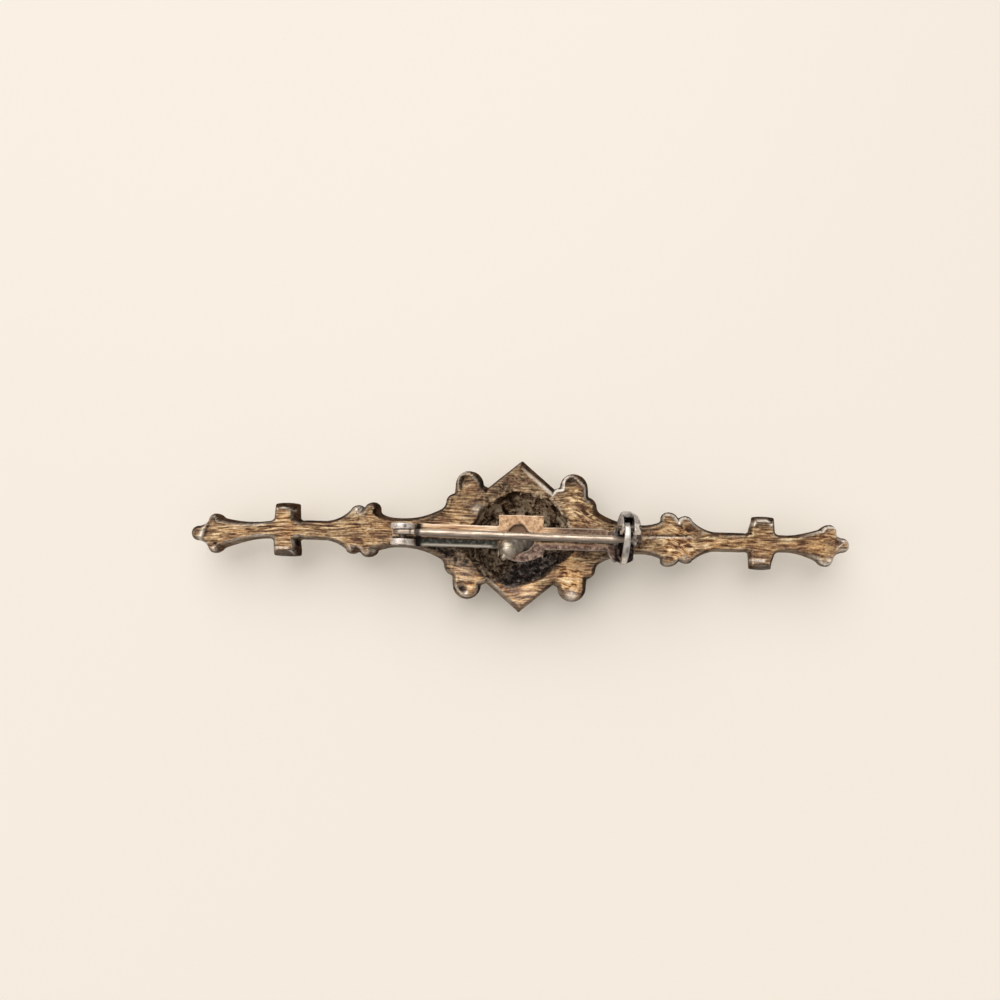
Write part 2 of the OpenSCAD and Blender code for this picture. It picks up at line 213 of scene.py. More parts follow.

# Creases and ridges on the back face, from one end to the other; the dark in the creases is partly
# tarnish and partly painted shade, and the bright on the ridges partly polish and partly painted
# highlight
CREASES = table("x0 y0 x1 y1 half_width height tarnish polish", [
    (-33.0, 1.3, -33.5, 0.3, 0.09, 0.06, 0.0, 0.9),
    (-33.45, 0.4, -33.8, -0.7, 0.20, 0.05, 0.0, 0.75),
    (-34.1, 0.6, -34.3, -0.4, 0.2, 0.0, 0.5, 0.0),
    (-32.8, 1.0, -33.4, -0.5, 0.15, -0.08, 0.7, 0.0),
    (-33.9, -0.85, -32.9, -1.1, 0.09, 0.05, 0.0, 0.8),
    (-25.7, 2.12, -25.2, 2.26, 0.10, 0.05, 0.0, 1.0),
    (-25.2, 2.26, -23.95, 1.98, 0.10, 0.05, 0.0, 1.0),
    (-25.9, -1.95, -24.9, -2.0, 0.10, 0.05, 0.0, 0.9),
    (-24.9, -2.0, -24.2, -2.45, 0.13, 0.05, 0.0, 1.0),
    (24.4, 1.95, 24.8, 2.3, 0.16, 0.0, 0.0, 1.0),
    (24.8, 2.3, 26.0, 2.34, 0.17, 0.0, 0.0, 1.0),
    (26.0, 2.34, 26.35, 1.95, 0.15, 0.0, 0.0, 0.9),
    (24.9, 1.75, 25.9, 1.8, 0.22, -0.05, 0.45, 0.0),
    (24.2, -1.85, 25.9, -1.85, 0.15, 0.0, 0.0, 1.0),
    (24.4, -2.15, 25.6, -2.15, 0.13, 0.0, 0.0, 0.4),
    (28.9, 0.8, 31.3, 1.15, 0.12, -0.05, 0.75, 0.0),
    (30.8, 1.45, 31.6, 1.5, 0.25, -0.05, 0.7, 0.0),
    (30.0, -0.85, 31.2, -1.25, 0.11, -0.04, 0.7, 0.0),
    (30.5, 0.1, 32.8, 0.2, 0.07, -0.04, 0.6, 0.0),
    (34.1, 0.3, 33.3, -0.35, 0.08, 0.04, 0.0, 0.6),
    (33.9, 0.55, 33.2, 0.25, 0.15, -0.05, 0.6, 0.0),
    (20.0, 0.55, 23.4, 0.75, 0.14, -0.03, 0.6, 0.0),
])

# Where single lobes and tabs lie off the CAD's regular places, and by how much
NUDGES = table("x y radius dx dy", [
    (-31.6, 2.0, 1.4, -0.4, 0.0),
    (-31.5, -1.9, 1.3, -0.25, 0.0),
    (-24.3, -2.5, 1.3, 0.4, 0.0),
    (-17.6, -2.2, 0.9, -0.35, 0.3),
    (-15.8, -2.6, 0.9, -0.1, 0.35),
    (-17.2, 2.2, 0.9, 0.2, 0.2),
    (-15.6, 2.6, 0.9, 0.2, 0.2),
    (15.8, 2.5, 0.9, -0.3, 0.0),
    (15.8, -2.8, 0.9, -0.3, 0.2),
    (17.4, -2.4, 0.9, 0.1, 0.25),
    (24.1, 2.6, 0.9, 0.25, 0.0),
    (26.4, -2.4, 1.0, -0.35, 0.0),
    (31.8, 1.9, 1.5, 0.8, 0.05),
    (31.7, -2.0, 1.4, 0.4, -0.2),
])

# Stretches where the rim is worn bright and carries painted highlight
BRIGHT_RIMS = table("x y radius strength", [
    (31.8, 1.9, 1.7, 1.0),
    (31.8, -2.0, 1.5, 1.0),
    (34.0, 0.0, 1.2, 0.9),
    (16.6, 2.5, 2.2, 0.9),
    (16.4, -2.8, 1.8, 0.5),
    (2.8, 5.2, 2.8, 1.8),
    (-6.0, 6.2, 1.4, 0.7),
    (-6.0, -6.2, 1.3, 0.9),
    (6.4, 5.2, 1.6, 0.8),
    (-3.0, -5.6, 2.4, 0.7),
    (-28.5, -1.2, 3.0, 0.6),
    (-31.6, 1.8, 1.2, 0.4),
    (-17.4, 2.2, 1.0, 0.6),
    (-16.6, -2.4, 1.8, 0.7),
    (-23.6, -1.2, 0.9, 0.8),
    (-23.6, 1.2, 0.7, 0.5),
])

# Metal run out round the centre rivet: x, y, height above the strip, radius, squash of the height
LUMPS = [
    (0.0, STRIP_Y, -0.5, HOLE_R - 0.04, 0.12),
    (-1.75, -2.25, 0.15, 0.42, 1.0),
    (-0.35, -1.1, 0.15, 0.75, 0.45),
    (0.25, -0.75, -0.05, 0.55, 0.5),
]


def hash01(ix, iy, iz, seed):
    """A repeatable number from 0 to 1 for each lattice point."""
    with np.errstate(over="ignore"):
        h = (
            ix.astype(np.uint32) * np.uint32(374761393)
            + iy.astype(np.uint32) * np.uint32(668265263)
            + iz.astype(np.uint32) * np.uint32(2147483647)
            + np.uint32(seed) * np.uint32(1274126177)
        )
        h = (h ^ (h >> np.uint32(13))) * np.uint32(1103515245)
        h = (h ^ (h >> np.uint32(16))) * np.uint32(2246822519)
        h = h ^ (h >> np.uint32(15))
    return h.astype(np.float64) / 4294967295.0


def value_noise(p, seed):
    """Smooth noise from -1 to 1 at the points p, one wave per unit."""
    cell = np.floor(p).astype(np.int64)
    f = p - cell
    f = f * f * (3 - 2 * f)
    total = np.zeros(len(p))
    for step in np.ndindex(2, 2, 2):
        weight = np.prod(np.where(step, f, 1 - f), axis=1)
        corner = (cell + step) & 0xFFFFFFFF
        total += weight * hash01(*corner.T, seed)
    return total * 2 - 1


def fbm(p, seed, octaves=4, gain=0.5):
    """Layered noise, each layer twice as fine as the one before."""
    sizes = gain ** np.arange(octaves)
    layers = [value_noise(p * 2.0**k + 17.3 * k, seed + k) for k in range(octaves)]
    return sum(s * layer for s, layer in zip(sizes, layers)) / sizes.sum()


def ramp(x, none, full):
    """0 up to none, 1 from full on and smooth between them; it falls where full is the lower."""
    t = np.clip((x - none) / (full - none), 0, 1)
    return t * t * (3 - 2 * t)


def bell(distance, width):
    """1 at no distance, falling to 0 past the width on both sides."""
    return np.exp(-((distance / width) ** 2))


def disc(xy, row):
    """1 at the middle of a table row's place, falling to 0 past its radius."""
    d = np.hypot(xy[:, 0] - row.x, xy[:, 1] - row.y) / row.radius
    return np.exp(-(d**2.6))


def crease(xy, row):
    """1 along a table row's line, falling to 0 past its half width."""
    start, end = np.array((row.x0, row.y0)), np.array((row.x1, row.y1))
    d = end - start
    t = np.clip((xy - start) @ d / (d @ d), 0, 1)
    return bell(np.hypot(*(xy - start - t[:, None] * d).T), row.half_width)


def painted(xy, rows, column="strength", shape=disc):
    """The strongest of a column's values at each point, where every row fills its own shape."""
    return np.max([getattr(row, column) * shape(xy, row) for row in rows], axis=0)


# Meshes


def copy_of(node):
    """The CAD node's mesh as a bmesh, with its corners joined."""
    bm = bmesh.new()
    bm.from_mesh(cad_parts[node].data)
    bmesh.ops.remove_doubles(bm, verts=bm.verts, dist=1e-7)
    return bm


def remeshed(bm, name, voxel):
    """The closed surfaces in bm fused into one fine even mesh, in a new object."""
    mesh = bpy.data.meshes.new(name)
    bm.to_mesh(mesh)
    bm.free()
    obj = bpy.data.objects.new(name, mesh)
    bpy.context.scene.collection.objects.link(obj)
    remesh = obj.modifiers.new("Remesh", "REMESH")
    remesh.mode = "VOXEL"
    remesh.voxel_size = voxel * MM
    depsgraph = bpy.context.evaluated_depsgraph_get()
    fine = bpy.data.meshes.new_from_object(obj.evaluated_get(depsgraph))
    obj.modifiers.clear()
    obj.data = fine
    fine.name = name
    fine.polygons.foreach_set("use_smooth", np.ones(len(fine.polygons), bool))
    return obj


def points_of(obj):
    """Places of the mesh's points, in millimetres."""
    co = np.empty(len(obj.data.vertices) * 3, np.float32)
    obj.data.vertices.foreach_get("co", co)
    return co.reshape(-1, 3).astype(np.float64) / MM


def normals_of(obj):
    n = np.empty(len(obj.data.vertices) * 3, np.float32)
    obj.data.vertex_normals.foreach_get("vector", n)
    return n.reshape(-1, 3).astype(np.float64)


def set_points(obj, p):
    obj.data.vertices.foreach_set("co", (p * MM).astype(np.float32).ravel())
    obj.data.update()


def set_masks(obj, **masks):
    """Stores a number or a vector for each point under each name, for the material to read."""
    for name, values in masks.items():
        kind, key = ("FLOAT_VECTOR", "vector") if values.ndim == 2 else ("FLOAT", "value")
        layer = obj.data.attributes.new(name, kind, "POINT")
        layer.data.foreach_set(key, np.asarray(values, np.float32).ravel())


def smoothed(obj, values, rounds):
    """Averages the values with their neighbours' along the mesh edges."""
    edges = np.empty(len(obj.data.edges) * 2, np.int64)
    obj.data.edges.foreach_get("vertices", edges)
    a, b = edges.reshape(-1, 2).T
    size = len(values)
    count = np.maximum(np.bincount(a, minlength=size) + np.bincount(b, minlength=size), 1)
    columns = values.reshape(size, -1).T.copy()
    for _ in range(rounds):
        for k, v in enumerate(columns):
            total = np.bincount(a, v[b], size) + np.bincount(b, v[a], size)
            columns[k] = 0.5 * v + 0.5 * total / count
    return columns.T.reshape(values.shape)


def cavity(obj, rounds, depth):
    """1 in hollows and inner corners, -1 on edges that stand out by the depth in millimetres."""
    p, n = points_of(obj), normals_of(obj)
    mean = smoothed(obj, p, rounds)
    return np.clip(((mean - p) * n).sum(1) / depth, -1, 1)


def face_border():
    """Ends and outward normals of the edges round the casting's back face, in X and Y."""
    bm = copy_of("bar_casting")
    top = BACK_Z * MM - 1e-6
    found = []
    for e in bm.edges:
        if len(e.link_faces) != 2 or min(v.co.z for v in e.verts) < top:
            continue
        faces = sorted(e.link_faces, key=lambda f: f.normal.z)
        if faces[0].normal.z < 0.99 < faces[1].normal.z:
            a, b = (np.array(v.co.xy) / MM for v in e.verts)
            out = np.array(faces[0].normal.xy)
            if np.hypot(*(a + b)) / 2 > HOLLOW_R + 0.02:
                found.append([a, b, out / np.hypot(*out)])
    bm.free()
    return np.array(found)


def from_border(border, xy):
    """Distance from each point to the border, and the border's outward normal there."""
    a, b = border[:, 0], border[:, 1]
    d = b - a
    length2 = (d * d).sum(1)
    distance = np.empty(len(xy))
    nearest = np.empty(len(xy), int)
    for start in range(0, len(xy), 4000):
        q = xy[start : start + 4000, None, :]
        t = np.clip(((q - a) * d).sum(2) / length2, 0, 1)
        gap = np.sqrt(((q - a - t[..., None] * d) ** 2).sum(2))
        nearest[start : start + 4000] = gap.argmin(1)
        distance[start : start + 4000] = gap.min(1)
    return distance, border[nearest, 2]


# Materials


def srgb(r, g, b):
    """A colour read as screen values, as the linear light that Blender works in."""
    return tuple(((c / 255 + 0.055) / 1.055) ** 2.4 for c in (r, g, b))


def new_material(name):
    material = bpy.data.materials.new(name)
    material.use_nodes = True
    tree = material.node_tree
    tree.nodes.clear()
    output = tree.nodes.new("ShaderNodeOutputMaterial")
    shader = tree.nodes.new("ShaderNodeBsdfPrincipled")
    tree.links.new(shader.outputs["BSDF"], output.inputs["Surface"])
    return material, Nodes(tree), shader


class Nodes:
    """Short names for the node kinds that the materials are made of."""

    def __init__(self, tree):
        self.tree = tree

    def link(self, value, socket):
        if isinstance(value, bpy.types.NodeSocket):
            self.tree.links.new(value, socket)
        elif isinstance(value, tuple):
            socket.default_value = (*value, 1.0)
        else:
            socket.default_value = value

    def mask(self, name, output="Fac"):
        node = self.tree.nodes.new("ShaderNodeAttribute")
        node.attribute_name = name
        return node.outputs[output]

    def math(self, operation, a, b=0.0):
        node = self.tree.nodes.new("ShaderNodeMath")
        node.operation = operation
        self.link(a, node.inputs[0])
        self.link(b, node.inputs[1])
        return node.outputs[0]

    def clamp(self, value):
        node = self.tree.nodes.new("ShaderNodeClamp")
        self.link(value, node.inputs["Value"])
        return node.outputs["Result"]

    def noise(self, scale, detail=4.0, roughness=0.6, distortion=0.0, along=None):
        """Noise with a number of waves per millimetre along each axis, or along the marks."""
        mapping = self.tree.nodes.new("ShaderNodeMapping")
        if along is None:
            coords = self.tree.nodes.new("ShaderNodeTexCoord").outputs["Object"]
            mapping.inputs["Scale"].default_value = [s / MM for s in scale]
        else:
            coords = along
            mapping.inputs["Scale"].default_value = scale
        self.link(coords, mapping.inputs["Vector"])
        node = self.tree.nodes.new("ShaderNodeTexNoise")
        node.inputs["Scale"].default_value = 1.0
        node.inputs["Detail"].default_value = detail
        node.inputs["Roughness"].default_value = roughness
        node.inputs["Distortion"].default_value = distortion
        self.link(mapping.outputs["Vector"], node.inputs["Vector"])
        return node.outputs["Fac"]

    def ramp(self, value, stops):
        node = self.tree.nodes.new("ShaderNodeValToRGB")
        elements = node.color_ramp.elements
        while len(elements) < len(stops):
            elements.new(0.5)
        for element, (place, colour) in zip(elements, stops):
            element.position = place
            element.color = (*colour, 1.0)
        self.link(value, node.inputs["Fac"])
        return node.outputs["Color"]

    def mix(self, factor, a, b):
        """From colour a to colour b."""
        node = self.tree.nodes.new("ShaderNodeMix")
        node.data_type = "RGBA"
        self.link(factor, node.inputs["Factor"])
        self.link(a, node.inputs[6])
        self.link(b, node.inputs[7])
        return node.outputs[2]

    def blend(self, factor, a, b):
        """From number a to number b."""
        node = self.tree.nodes.new("ShaderNodeMix")
        self.link(factor, node.inputs["Factor"])
        self.link(a, node.inputs[2])
        self.link(b, node.inputs[3])
        return node.outputs[0]

    def total(self, *terms):
        """Sum of pairs of a number and its weight, each counted from its middle value of a half."""
        result = 0.5
        for value, weight in terms:
            centred = self.math("SUBTRACT", value, 0.5)
            result = self.math("ADD", result, self.math("MULTIPLY", centred, weight))
        return result

    def fit(self, value, low, high, to_low=0.0, to_high=1.0):
        """The value's stretch from low to high, spread from to_low to to_high."""
        node = self.tree.nodes.new("ShaderNodeMapRange")
        self.link(value, node.inputs["Value"])
        limits = {"From Min": low, "From Max": high, "To Min": to_low, "To Max": to_high}
        for name, number in limits.items():
            node.inputs[name].default_value = number
        return node.outputs["Result"]

    def bump(self, height, strength, depth, under=None):
        node = self.tree.nodes.new("ShaderNodeBump")
        node.inputs["Strength"].default_value = strength
        node.inputs["Distance"].default_value = depth * MM
        self.link(height, node.inputs["Height"])
        if under is not None:
            self.link(under, node.inputs["Normal"])
        return node.outputs["Normal"]


def casting_material():
    """Brown patina with file marks, bright rims that are partly worn and partly painted highlight,
    sides painted dark as shade, and a pitted, blackened hollow whose far part is painted lighter.
    """
    material, n, shader = new_material("patinated_silver")
    specks = n.noise((3.4, 3.4, 3.4), detail=3.0, roughness=0.65)
    cloud = n.noise((0.35, 0.35, 0.35), detail=3.0)
    rocks = n.noise((1.2, 1.2, 1.2), detail=4.0, roughness=0.62, distortion=0.8)
    grime, wall, front, pit = n.mask("grime"), n.mask("wall"), n.mask("front"), n.mask("pit")
    groove = filed_surface(n, specks)
    metal = n.mix(front, filed_colour(n, groove, cloud), plain_colour(n, cloud))
    crust = n.total((rocks, 1.5), (specks, 0.6))
    patchy = n.clamp(n.math("MULTIPLY", grime, n.fit(specks, 0.3, 0.7, 1.35, 0.75)))
    black = n.mix(n.mask("cold"), dirt_colour(n, crust), cold_colour(n, crust))
    dirt_and_shade = n.mix(patchy, metal, black)
    skinned = n.mix(pit, dirt_and_shade, skin_with_painted_light(n, crust))
    # Painted shade: the dark brown of the sides
    wall_colour = n.mix(n.fit(rocks, 0.38, 0.62), srgb(26, 17, 12), srgb(86, 62, 44))
    wear = n.clamp(n.math("MULTIPLY", n.mask("wear"), n.fit(specks, 0.32, 0.55, 0.5, 1.15)))
    # The pale colour of worn rims and of painted highlights and reflection
    bright = n.mix(n.fit(cloud, 0.3, 0.7), srgb(250, 246, 238), srgb(232, 214, 194))
    n.link(n.mix(wear, n.mix(wall, skinned, wall_colour), bright), shader.inputs["Base Color"])
    dull = n.math("MULTIPLY", n.math("MAXIMUM", wall, pit), 0.45)
    shine = n.math("SUBTRACT", n.math("ADD", n.math("MULTIPLY", wear, 0.25), 0.68), dull)
    n.link(n.clamp(shine), shader.inputs["Metallic"])
    n.link(n.math("SUBTRACT", 0.5, dull), shader.inputs["Specular IOR Level"])
    rough = n.math("ADD", n.fit(groove, 0.35, 0.65, 0.58, 0.40), n.math("MULTIPLY", dull, 0.6))
    polished = n.math("SUBTRACT", rough, n.math("MULTIPLY", wear, 0.12))
    n.link(n.clamp(polished), shader.inputs["Roughness"])
    on_face = n.math("SUBTRACT", 1.0, n.clamp(n.math("ADD", front, wall)))
    filed = n.bump(n.math("MULTIPLY", groove, on_face), 0.9, 0.10)
    n.link(n.bump(n.total((specks, 0.5), (rocks, grime)), 0.8, 0.2, filed), shader.inputs["Normal"])
    return material


def dirt_colour(n, crust):
    """Blackened brown tarnish, also the colour of the painted shade in the score, in the creases
    and inside the rim.
    """
    return n.ramp(
        crust,
        [
            (0.34, srgb(14, 10, 9)),
            (0.45, srgb(50, 38, 31)),
            (0.56, srgb(90, 74, 61)),
            (0.70, srgb(136, 118, 100)),
        ],
    )


def cold_colour(n, crust):
    """Smooth blue-black tarnish on the near side of the hollow."""
    return n.ramp(
        crust,
        [
            (0.30, srgb(20, 18, 20)),
            (0.52, srgb(70, 64, 65)),
            (0.70, srgb(152, 143, 140)),
        ],
    )


def skin_with_painted_light(n, crust):
    """Grey-brown rough skin of the casting, as it shows in the hollow, made lighter as painted
    light.
    """
    return n.ramp(
        crust,
        [
            (0.32, srgb(44, 32, 26)),
            (0.44, srgb(138, 110, 86)),
            (0.56, srgb(216, 190, 158)),
            (0.70, srgb(244, 230, 206)),
        ],
    )


def filed_surface(n, specks):
    """Height of the file marks, a half on average: fine, coarse or scaly from zone to zone."""
    along = n.mask("marks", "Vector")
    coarse_share, scaly_share = n.mask("coarse"), n.mask("scaly")
    fine = n.noise((0.55, 5.0, 1.0), detail=3.0, roughness=0.6, distortion=0.2, along=along)
    coarse = n.noise((0.45, 3.2, 1.0), detail=3.0, roughness=0.55, distortion=0.35, along=along)
    scales = n.noise((0.9, 2.1, 1.2), detail=3.0, roughness=0.5, distortion=1.2, along=along)
    broad = n.noise((0.4, 1.0, 0.8), detail=3.0, along=along)
    lines = n.blend(scaly_share, n.blend(coarse_share, fine, coarse), scales)
    depth = n.total((coarse_share, 0.55), (scaly_share, 0.2))
    depth = n.math("ADD", depth, 0.95)
    return n.total((lines, depth), (broad, 0.22), (specks, 0.18))


def filed_colour(n, groove, cloud):
    """Brown to golden patina, dark in the file marks and in a few thin scores."""
    brown = n.ramp(
        groove,
        [
            (0.32, srgb(56, 38, 26)),
            (0.42, srgb(106, 80, 58)),
            (0.50, srgb(153, 123, 89)),
            (0.57, srgb(196, 164, 122)),
            (0.68, srgb(240, 217, 178)),
        ],
    )
    golden = n.ramp(
        groove,
        [
            (0.34, srgb(60, 34, 19)),
            (0.42, srgb(132, 88, 52)),
            (0.49, srgb(208, 161, 109)),
            (0.56, srgb(240, 199, 145)),
            (0.67, srgb(252, 230, 194)),
        ],
    )
    plum = n.fit(n.noise((0.5, 1.1, 0.8), detail=3.0), 0.46, 0.62, 0.0, 0.45)
    scores = n.noise((0.16, 9.0, 1.0), detail=1.0, along=n.mask("marks", "Vector"))
    warmth = n.clamp(n.math("ADD", n.mask("golden"), n.fit(cloud, 0.4, 0.65, -0.15, 0.6)))
    patina = n.mix(plum, n.mix(warmth, brown, golden), srgb(112, 74, 62))
    return n.mix(n.fit(scores, 0.62, 0.68, 0.0, 0.7), patina, srgb(48, 32, 22))


def plain_colour(n, cloud):
    """The plain grey silver of the front."""
    return n.mix(n.fit(cloud, 0.35, 0.65), srgb(150, 142, 130), srgb(186, 178, 164))


def silver_material(name, light, dark, roughness, dirt_and_shade_share, streak=(0.6, 6.0, 6.0)):
    """Silver with brushed streaks, darker in its corners and where painted shade falls, and
    brighter on its worn edges and painted highlights.
    """
    material, n, shader = new_material(name)
    lines = n.noise(streak, detail=4.0)
    cloud = n.noise((0.9, 0.9, 0.9), detail=4.0)
    grime = n.clamp(n.math("MULTIPLY", n.mask("grime"), dirt_and_shade_share))
    base = n.mix(n.fit(lines, 0.35, 0.65), dark, light)
    clouded = n.mix(n.fit(cloud, 0.45, 0.75, 0.0, 0.55), base, dark)
    # Dark brown for patina in corners and for painted shade; the light colour again for worn edges
    # and painted highlights
    dirt_and_shade = n.mix(grime, clouded, srgb(34, 27, 23))
    rusty = n.mix(n.mask("brown"), dirt_and_shade, srgb(118, 86, 58))
    n.link(n.mix(n.mask("wear"), rusty, light), shader.inputs["Base Color"])
    tarnish = n.math("MAXIMUM", grime, n.mask("brown"))
    n.link(n.math("SUBTRACT", 0.95, n.math("MULTIPLY", tarnish, 0.85)), shader.inputs["Metallic"])
    varied = n.fit(cloud, 0.3, 0.7, roughness - 0.05, roughness + 0.1)
    n.link(n.math("ADD", varied, n.math("MULTIPLY", grime, 0.3)), shader.inputs["Roughness"])
    n.link(n.bump(n.math("ADD", lines, cloud), 0.25, 0.05), shader.inputs["Normal"])
    return material


def peach_colour(n, lines):
    """Peach-coloured metal, dark in its scratches."""
    return n.ramp(
        lines,
        [
            (0.36, srgb(104, 70, 50)),
            (0.45, srgb(184, 142, 106)),
            (0.55, srgb(228, 192, 154)),
            (0.68, srgb(246, 222, 194)),
        ],
    )


def pitted_colour(n, specks):
    """Grey-brown pitted metal on the strip's right half and the catch's foot."""
    return n.ramp(
        specks,
        [
            (0.34, srgb(66, 48, 40)),
            (0.46, srgb(112, 88, 76)),
            (0.58, srgb(156, 130, 116)),
            (0.70, srgb(206, 184, 168)),
        ],
    )


def green_colour(n, specks):
    """Green-black tarnish on the near side of the strip's left half, darkened further as painted
    shade.
    """
    return n.ramp(
        specks,
        [
            (0.38, srgb(26, 27, 22)),
            (0.55, srgb(66, 68, 60)),
            (0.70, srgb(118, 120, 108)),
        ],
    )


def fitting_colour(n, specks):
    """The pale silver of the hinge and the catch."""
    return n.ramp(
        specks,
        [
            (0.34, srgb(184, 172, 166)),
            (0.48, srgb(242, 232, 226)),
            (0.66, srgb(255, 250, 246)),
        ],
    )


def strip_material():
    """Peach-coloured strip with scratches along it, pitted near the plate, and silver fittings."""
    material, n, shader = new_material("brassy_silver")
    specks = n.noise((2.8, 2.8, 2.8), detail=4.0, roughness=0.65)
    scratches = n.noise((0.3, 4.2, 1.5), detail=4.0, roughness=0.55, distortion=0.3)
    lines = n.blend(n.mask("plate"), scratches, n.fit(specks, 0.3, 0.7, 0.38, 0.62))
    peach = peach_colour(n, lines)
    pitted = pitted_colour(n, specks)
    green = green_colour(n, specks)
    strip = n.mix(n.clamp(n.mask("pitted")), n.mix(n.mask("green"), peach, green), pitted)
    silver = fitting_colour(n, specks)
    fittings = n.mix(n.mask("fitting"), strip, silver)
    grime = n.clamp(n.math("MULTIPLY", n.mask("grime"), n.fit(specks, 0.3, 0.7, 1.3, 0.7)))
    # Near black for patina in recesses and for painted shade, and a pale colour for worn edges and
    # painted highlights
    dirt_and_shade = n.mix(grime, fittings, srgb(28, 21, 19))
    wear = n.clamp(n.math("MULTIPLY", n.mask("wear"), 0.85))
    n.link(n.mix(wear, dirt_and_shade, srgb(240, 230, 216)), shader.inputs["Base Color"])
    shine = n.math("ADD", 0.45, n.math("MULTIPLY", n.mask("fitting"), 0.25))
    n.link(n.math("SUBTRACT", shine, n.math("MULTIPLY", grime, 0.45)), shader.inputs["Metallic"])
    rough = n.math("ADD", n.fit(specks, 0.3, 0.7, 0.30, 0.46), n.math("MULTIPLY", grime, 0.3))
    n.link(rough, shader.inputs["Roughness"])
    glint = n.math("SUBTRACT", 0.5, n.math("MULTIPLY", grime, 0.4))
    n.link(glint, shader.inputs["Specular IOR Level"])
    n.link(n.bump(n.math("ADD", lines, specks), 0.4, 0.08), shader.inputs["Normal"])
    return material

# Casting


def border_inset(xy, out):
    """How much further in than the CAD bevel puts it the back face's edge lies, side by side."""
    x, y = xy.T
    left, right = ramp(-x, ARM_START, ARM_FULL), ramp(x, ARM_START, ARM_FULL)
    middle = 1 - left - right
    rising = (out[:, 0] + out[:, 1]) * math.sqrt(0.5)
    falling = (out[:, 1] - out[:, 0]) * math.sqrt(0.5)
    inset = left * 0.5 * np.clip(out[:, 0], 0, 1)
    inset += right * -0.28 * np.clip(-out[:, 0], 0, 1)
    inset += middle * (0.38 * np.clip(rising, 0, 1) ** 3 + 0.14 * np.clip(-rising, 0, 1) ** 3)
    inset -= middle * 0.15 * np.clip(falling, 0, 1) ** 3
    tab_end = ramp(np.abs(y), 2.2, 2.4) * ramp(np.abs(x), 22.5, 23.0) * ramp(np.abs(x), 27.5, 27.0)
    inset += tab_end * np.abs(out[:, 1]) * 0.35
    return inset


def reshape_border(p, at):
    """Moves the edge of the back face in or out, and the bevel beside it along."""
    height = ramp(p[:, 2], RING_Z, BACK_Z - 0.05)
    reach = np.where(at.inside, bell(at.distance, 0.6), 1.0) * height
    p[:, :2] -= at.out * (border_inset(p[:, :2], at.out) * reach)[:, None]


def mouth_radius(xy):
    """Radius of the hollow's mouth in each point's direction."""
    angles, radii = np.array(HOLLOW_EDGE).T
    angle = np.degrees(np.arctan2(xy[:, 1], xy[:, 0]))
    return np.interp(angle, angles, radii, period=360)


def reshape_hollow(p, n, at):
    """Gives the mouth of the hollow its uneven outline."""
    r = np.hypot(p[:, 0], p[:, 1])
    uneven = 0.16 * fbm(np.c_[p[:, :2] * 1.1, p[:, 2] * 0.5], 5, octaves=3)
    edge = mouth_radius(p[:, :2]) + uneven
    beyond = 1 - ramp(r, HOLLOW_R, HOLLOW_R + 1.9)
    face = at.inside & (p[:, 2] > BACK_Z - 0.1)
    wall = (n * p)[:, :2].sum(1) < 0
    on_face = beyond * ramp(at.distance, 0.1, 0.6)
    weight = np.where(face, on_face, np.where(wall, beyond, 0.0))
    weight *= ramp(p[:, 2], BACK_Z - 1.5, BACK_Z - 0.3)
    p[:, :2] *= (1 + (edge - HOLLOW_R) * weight / np.maximum(r, 0.1))[:, None]


def mark_field(xy):
    """Coordinates along and across the file marks, which lean from zone to zone."""
    x, y = xy.T
    across = y + 0.12 * fbm(np.c_[xy * 0.4, np.zeros(len(xy))], 3, octaves=3)
    for row in MARK_ZONES:
        across -= disc(xy, row) * row.slope * (x - row.x)
    return x.copy(), across


def score(xy):
    """The long score on the right leaf: 1 along its length, and each point's distance across it."""
    x, y = xy.T
    return ramp(x, 12.6, 13.2) * ramp(x, 18.4, 17.4), y - (0.38 + 0.03 * (x - 13))


def carve_face(p, at):
    """Height of the file marks, the raised rim, dents and beads on the back face."""
    xy, flat = p[:, :2], np.zeros(len(p))
    fine = fbm(np.c_[at.along * 0.5, at.across * 3.2, flat], 11, octaves=3, gain=0.6)
    scaly = painted(xy, MARK_ZONES, "scaly")
    height = (0.025 + 0.03 * scaly) * fine
    height += 0.12 * scaly * np.abs(fbm(p * 1.4, 31, octaves=3)) ** 0.5
    height += 0.025 * fbm(np.c_[at.along * 0.12, at.across * 1.1, flat], 23, octaves=2)
    height += 0.07 * bell(at.distance - 0.10, 0.12)
    for row in SPOTS:
        height += row.height * disc(xy, row)
    for row in CREASES:
        height += row.height * crease(xy, row)
    digs = painted(xy, STAINS)
    height += digs * (0.30 * fbm(p * 1.3, 61, octaves=4, gain=0.6) - 0.12)
    scored, off_score = score(xy)
    height -= 0.12 * (np.abs(off_score) < 0.09) * scored
    return height * at.face


def hollow_mask(p, at):
    """1 in the hollow, with an edge that blurs into the stains beside it."""
    x, y, z = p.T
    rough = 0.15 + 0.65 * ramp(x, 1.0, -2.5)
    edge = mouth_radius(p[:, :2]) + rough * fbm(p * 0.8, 95, octaves=3)
    soft = 0.35 + 0.9 * painted(p[:, :2], STAINS)
    depth = (edge - np.hypot(x, y)) / soft
    return ramp(depth, -0.7, 0.7) * (z > HOLLOW_Z) * (1 - at.front)


def stain_mask(xy, at, blotch):
    """How dark the tarnish lies on the back face, with painted shade in the score and partly in the
    creases.
    """
    scored, off_score = score(xy)
    stains = [
        painted(xy, STAINS) * (1 + 0.5 * blotch),
        painted(xy, SPOTS, "tarnish"),
        painted(xy, CREASES, "tarnish", crease),
        # Painted shade in the score
        at.face * scored * bell(off_score, 0.08) * 0.9,
    ]
    return np.maximum.reduce(stains)


